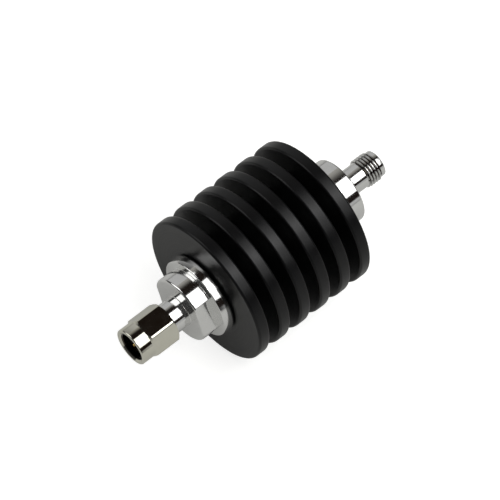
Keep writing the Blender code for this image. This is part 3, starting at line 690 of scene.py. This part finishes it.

# Polished nickel of the jack: the same as the other shell's, with painted shade in the barrel's thread.
jack_nickel = nickel("polished_nickel_of_jack", ("#d9d9d7", "#e3e3e2"), (0.08, 0.12), 0.06,
                     (THREAD_ROOT_RADIUS, THREAD_RADIUS - UNSHADED_CREST_DEPTH, THREAD_START + THREAD_STOP,
                      THREAD_END - THREAD_STOP))
jack_shell = turn("turned_jack_shell", [
    (JACK_SPIGOT_END, LINE_RADIUS),
    (JACK_SPIGOT_END, CORE_RADIUS - SEAT_GAP, SPIGOT_CHAMFER),
    (JACK_SEAT, CORE_RADIUS - SEAT_GAP),
    (JACK_SEAT, FLANGE_RADIUS, FLANGE_SEAT_ROUND),
    (JACK_FLANGE_FACE, FLANGE_FACE_RADIUS, FLANGE_EDGE),
    (JACK_FLANGE_FACE, COLLAR_RADIUS, COLLAR_ROOT),
    (JACK_COLLAR_END, COLLAR_RADIUS, JACK_COLLAR_EDGE),
    (JACK_COLLAR_END, JACK_NECK_RADIUS, NECK_ROOT),
    (THREAD_START, JACK_NECK_RADIUS),
    (THREAD_START + THREAD_RUN_IN, THREAD_RADIUS),
    (THREAD_END - THREAD_CHAMFER, THREAD_RADIUS),
    (THREAD_END, PILOT_RADIUS),
    (JACK_END, PILOT_RADIUS, PILOT_EDGE),
    (JACK_END, COUNTERBORE_RADIUS, EDGE),
    (JACK_PLANE, COUNTERBORE_RADIUS),
    (JACK_PLANE, LINE_RADIUS),
], sides=SHELL_FACETS)
cut(jack_shell, thread_tool("jack_thread_tool", THREAD_ROOT_RADIUS, THREAD_RADIUS + THREAD_TOOL_OVERLAP,
                            THREAD_ROOT_WIDTH, THREAD_START - THREAD_TOOL_RUN_IN, THREAD_END - THREAD_STOP))
smooth(jack_shell)
jack_shell.data.materials.append(jack_nickel)
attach(jack_shell, "body")
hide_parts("jack_shell")

# Inside of the jack. The centre socket is bored, sawn across twice into four spring fingers, and gold plated.
# The real fingers are crimped in a little to grip the pin, and here they stay straight. It sits in a PTFE
# sleeve like the plug's.

SOCKET_BORE_RADIUS = 0.47
SOCKET_BORE_DEPTH = 2.6
SOCKET_MOUTH_CHAMFER = 0.08
SAW_CUT_WIDTH = 0.18
SAW_CUT_LENGTH = 1.9
SAW_CUT_ANGLES = (radians(45), radians(135))

socket_end = (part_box("jack_socket")[0].x - FRONT_FACE) / MM
socket_seat = JACK_SPIGOT_END - SEAT_GAP
bore_bottom = JACK_PLANE - SOCKET_BORE_DEPTH
jack_socket = turn("turned_jack_socket", [
    (socket_end, 0),
    (socket_end, TAIL_RADIUS, EDGE),
    (socket_seat - TAIL_CHAMFER, TAIL_RADIUS),
    (socket_seat, CONTACT_RADIUS),
    (JACK_PLANE, CONTACT_RADIUS, EDGE),
    (JACK_PLANE, SOCKET_BORE_RADIUS + SOCKET_MOUTH_CHAMFER),
    (JACK_PLANE - SOCKET_MOUTH_CHAMFER, SOCKET_BORE_RADIUS),
    (bore_bottom, SOCKET_BORE_RADIUS),
    (bore_bottom - SOCKET_BORE_RADIUS / 2, 0),
], sides=CONTACT_FACETS)
for angle in SAW_CUT_ANGLES:
    bpy.ops.object.select_all(action="DESELECT")
    bpy.ops.mesh.primitive_cube_add(size=1)
    saw = bpy.context.object
    saw.matrix_world = (
        Matrix.Translation((FRONT_FACE + JACK_PLANE * MM, 0, AXIS_HEIGHT)) @ Matrix.Rotation(angle, 4, "X")
        @ Matrix.Diagonal((2 * SAW_CUT_LENGTH * MM, 4 * CONTACT_RADIUS * MM, SAW_CUT_WIDTH * MM, 1))
    )
    cut(jack_socket, saw)
smooth(jack_socket)
jack_socket.data.materials.append(gold_plate)
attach(jack_socket, "body")
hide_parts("jack_socket")

ptfe_sleeve("turned_jack_sleeve", JACK_SPIGOT_END, JACK_PLANE, "jack_dielectric")

# Studio. The part lies on a plain pale floor in a grey room. A large softbox, brighter along its middle,
# hangs over it, tilted towards -Y. A dark card is below its lower edge, and two cards that grow paler away
# from it are beyond its upper edge. A small softbox stands behind the part, towards the plug's end.

FLOOR_SIZE = 6.0
FLOOR_GLOW_TO_CAMERA = 0.74
FLOOR_GLOW_IN_MIRRORS = 0.08
KEY_TILT = 29.8
KEY_SHIFT = 0.095
KEY_WIDTH = 0.29
KEY_HEIGHT = 0.388
KEY_CENTRE_HEIGHT = 0.1
LIGHT_DISTANCE = 0.35
BACK_LIGHT_DISTANCE = 0.22
CARD_DISTANCE = 0.33
CARD_DARK = "#1c1613"
CARD_PALE = "#a6a49f"

# The floor is lit to a mid grey, so that it takes the part's shadow, and shows near white to the camera.
floor_finish = bpy.data.materials.new("matt_white_table")
floor_finish.use_nodes = True
tree = floor_finish.node_tree
tree.nodes.clear()
rays = add(tree, "LightPath")
paint = add(tree, "BsdfDiffuse", {"Color": linear("#c4c4c1")})
mirrored = add(tree, "Math", {0: rays.outputs["Is Glossy Ray"], 1: rays.outputs["Is Transmission Ray"]},
               operation="ADD")
mirrored = add(tree, "Math", {0: mirrored.outputs["Value"], 1: FLOOR_GLOW_IN_MIRRORS}, operation="MULTIPLY")
seen = add(tree, "Math", {0: rays.outputs["Is Camera Ray"], 1: FLOOR_GLOW_TO_CAMERA,
                          2: mirrored.outputs["Value"]}, operation="MULTIPLY_ADD")
glow = add(tree, "Emission", {"Color": (1, 1, 1, 1), "Strength": seen.outputs["Value"]})
both = add(tree, "AddShader", {0: paint.outputs["BSDF"], 1: glow.outputs["Emission"]})
add(tree, "OutputMaterial", {"Surface": both.outputs["Shader"]})
bpy.ops.object.select_all(action="DESELECT")
bpy.ops.mesh.primitive_plane_add(size=FLOOR_SIZE, location=(0, 0, 0))
floor = bpy.context.object
floor.name = "floor"
floor.data.materials.append(floor_finish)

# The room is white to the camera. In reflections it has a light grey band beside the jack, and is dark
# towards both ends. Its light on the part rises from the plug's end to just past the middle, and is even
# from there on. `facing` runs from -1 to 1 along X.
world = bpy.data.worlds.new("studio")
world.use_nodes = True
bpy.context.scene.world = world
tree = world.node_tree
tree.nodes.clear()
rays = add(tree, "LightPath")
mirrored = add(tree, "Math", {0: rays.outputs["Is Glossy Ray"], 1: rays.outputs["Is Transmission Ray"]},
               operation="ADD")
facing = add(tree, "SeparateXYZ", {"Vector": add(tree, "TexCoord").outputs["Generated"]}).outputs["X"]
walls = add(tree, "MapRange", {"Value": facing, "From Min": 0.0, "From Max": 0.33,
                               "To Min": 0.06, "To Max": 0.52}, interpolation_type="SMOOTHSTEP")
far_end = add(tree, "MapRange", {"Value": facing, "From Min": 0.5, "From Max": 0.75,
                                 "To Min": 1.0, "To Max": 0.1}, interpolation_type="SMOOTHSTEP")
walls = add(tree, "Math", {0: walls.outputs["Result"], 1: far_end.outputs["Result"]}, operation="MULTIPLY")
shine = add(tree, "MapRange", {"Value": facing, "From Min": -0.6, "From Max": 0.2,
                               "To Min": 0.1, "To Max": 0.42})
level = add(tree, "MapRange", {"Value": mirrored.outputs["Value"], "To Min": shine.outputs["Result"],
                               "To Max": walls.outputs["Value"]})
level = add(tree, "Math", {0: rays.outputs["Is Camera Ray"], 1: level.outputs["Result"]}, operation="MAXIMUM")
room = add(tree, "Background", {"Color": (1, 1, 1, 1), "Strength": level.outputs["Value"]})
add(tree, "OutputWorld", {"Surface": room.outputs["Background"]})


def hang(tilt, shift, distance):
    """Place for a light or a card that faces the part's axis, by its tilt from the vertical towards -Y, its
    shift along X from the part's middle, and its distance from the axis."""
    over_axis = Matrix.Translation((shift, 0, AXIS_HEIGHT)) @ Matrix.Rotation(radians(tilt), 4, "X")
    return over_axis @ Matrix.Translation((0, 0, distance))


def stand(azimuth, elevation, distance):
    """Place for a light that faces the part, by its bearing from +X towards +Y and its height in degrees."""
    bearing, height = radians(azimuth), radians(elevation)
    away = Vector((cos(height) * cos(bearing), cos(height) * sin(bearing), sin(height)))
    middle = Vector((0, 0, AXIS_HEIGHT))
    return Matrix.Translation(middle + away * distance) @ away.to_track_quat("Z", "Y").to_matrix().to_4x4()


def softbox(name, place, width, height, radiance):
    """A lamp with an even white face, as bright in a reflection as its radiance says."""
    lamp = bpy.data.lights.new(name, "AREA")
    lamp.shape = "RECTANGLE"
    lamp.size = width
    lamp.size_y = height
    lamp.energy = radiance * pi * width * height
    holder = bpy.data.objects.new(name, lamp)
    bpy.context.collection.objects.link(holder)
    holder.matrix_world = place
    holder.visible_camera = False


def card_stock(name, near, far, turns_at=0.0):
    """Matt card, as bright in a reflection as its colours are written: one at the edge next to the softbox,
    and from a share of its height on a slow change to another at the far edge."""
    stock = bpy.data.materials.new(name)
    stock.use_nodes = True
    tree = stock.node_tree
    tree.nodes.clear()
    up = add(tree, "SeparateXYZ", {"Vector": add(tree, "TexCoord").outputs["UV"]}).outputs["Y"]
    share = add(tree, "MapRange", {"Value": up, "From Min": turns_at, "From Max": 1.0},
                interpolation_type="SMOOTHSTEP")
    shade = add(tree, "MixRGB", {"Fac": share.outputs["Result"], "Color1": linear(near),
                                 "Color2": linear(far)})
    face = add(tree, "Emission", {"Color": shade.outputs["Color"]})
    add(tree, "OutputMaterial", {"Surface": face.outputs["Emission"]})
    return stock


dark_card = card_stock("dark_brown_card", CARD_DARK, CARD_DARK)
upper_stock = card_stock("upper_graded_card", CARD_DARK, CARD_PALE, turns_at=0.5)
end_stock = card_stock("end_graded_card", CARD_DARK, CARD_PALE, turns_at=0.1)


def card(name, place, width, height, stock):
    """A card that only shows in reflections, and takes no light from the part."""
    bpy.ops.object.select_all(action="DESELECT")
    bpy.ops.mesh.primitive_plane_add(size=1)
    sheet = bpy.context.object
    sheet.name = name
    sheet.data.transform(place @ Matrix.Diagonal((width, height, 1, 1)))
    sheet.data.materials.append(stock)
    sheet.visible_camera = False
    sheet.visible_diffuse = False
    sheet.visible_shadow = False


# The brighter middle of the softbox hangs just under its face, two degrees nearer the vertical.
softbox("key_softbox", hang(KEY_TILT, KEY_SHIFT, LIGHT_DISTANCE), KEY_WIDTH, KEY_HEIGHT, radiance=1.5)
softbox("key_centre", hang(KEY_TILT - 2, KEY_SHIFT, LIGHT_DISTANCE - 2 * MM), KEY_WIDTH, KEY_CENTRE_HEIGHT,
        radiance=3.4)
softbox("back_strip", stand(azimuth=124, elevation=43, distance=BACK_LIGHT_DISTANCE), width=0.12,
        height=0.185, radiance=1.8)
card("upper_card", hang(tilt=-22, shift=0.01, distance=CARD_DISTANCE), width=0.23, height=0.27,
     stock=upper_stock)
card("upper_end_card", hang(tilt=-18, shift=0.23, distance=CARD_DISTANCE), width=0.21, height=0.24,
     stock=end_stock)
card("lower_card", hang(tilt=69.5, shift=0.12, distance=CARD_DISTANCE), width=0.42, height=0.124,
     stock=dark_card)

# Camera. It looks down on the part from between the plug's end and the -Y side, with a long lens aimed near
# the part's middle, so that the view and the frame are the photograph's.
CAMERA_AZIMUTH = radians(-41.66)
CAMERA_ELEVATION = radians(57.74)
CAMERA_DISTANCE = 0.66325
CAMERA_LENS = 247.6
AIM = Vector((FRONT_FACE + 10.996 * MM, -0.7015 * MM, AXIS_HEIGHT + 4.283 * MM))
camera_data = bpy.data.cameras.new("camera")
camera = bpy.data.objects.new("camera", camera_data)
bpy.context.collection.objects.link(camera)
bpy.context.scene.camera = camera
to_camera = Vector((sin(CAMERA_AZIMUTH) * cos(CAMERA_ELEVATION),
                    -cos(CAMERA_AZIMUTH) * cos(CAMERA_ELEVATION), sin(CAMERA_ELEVATION)))
camera.location = AIM + to_camera * CAMERA_DISTANCE
camera.rotation_euler = (pi / 2 - CAMERA_ELEVATION, 0, CAMERA_AZIMUTH)
camera_data.lens = CAMERA_LENS
bpy.context.scene.view_settings.view_transform = "Standard"
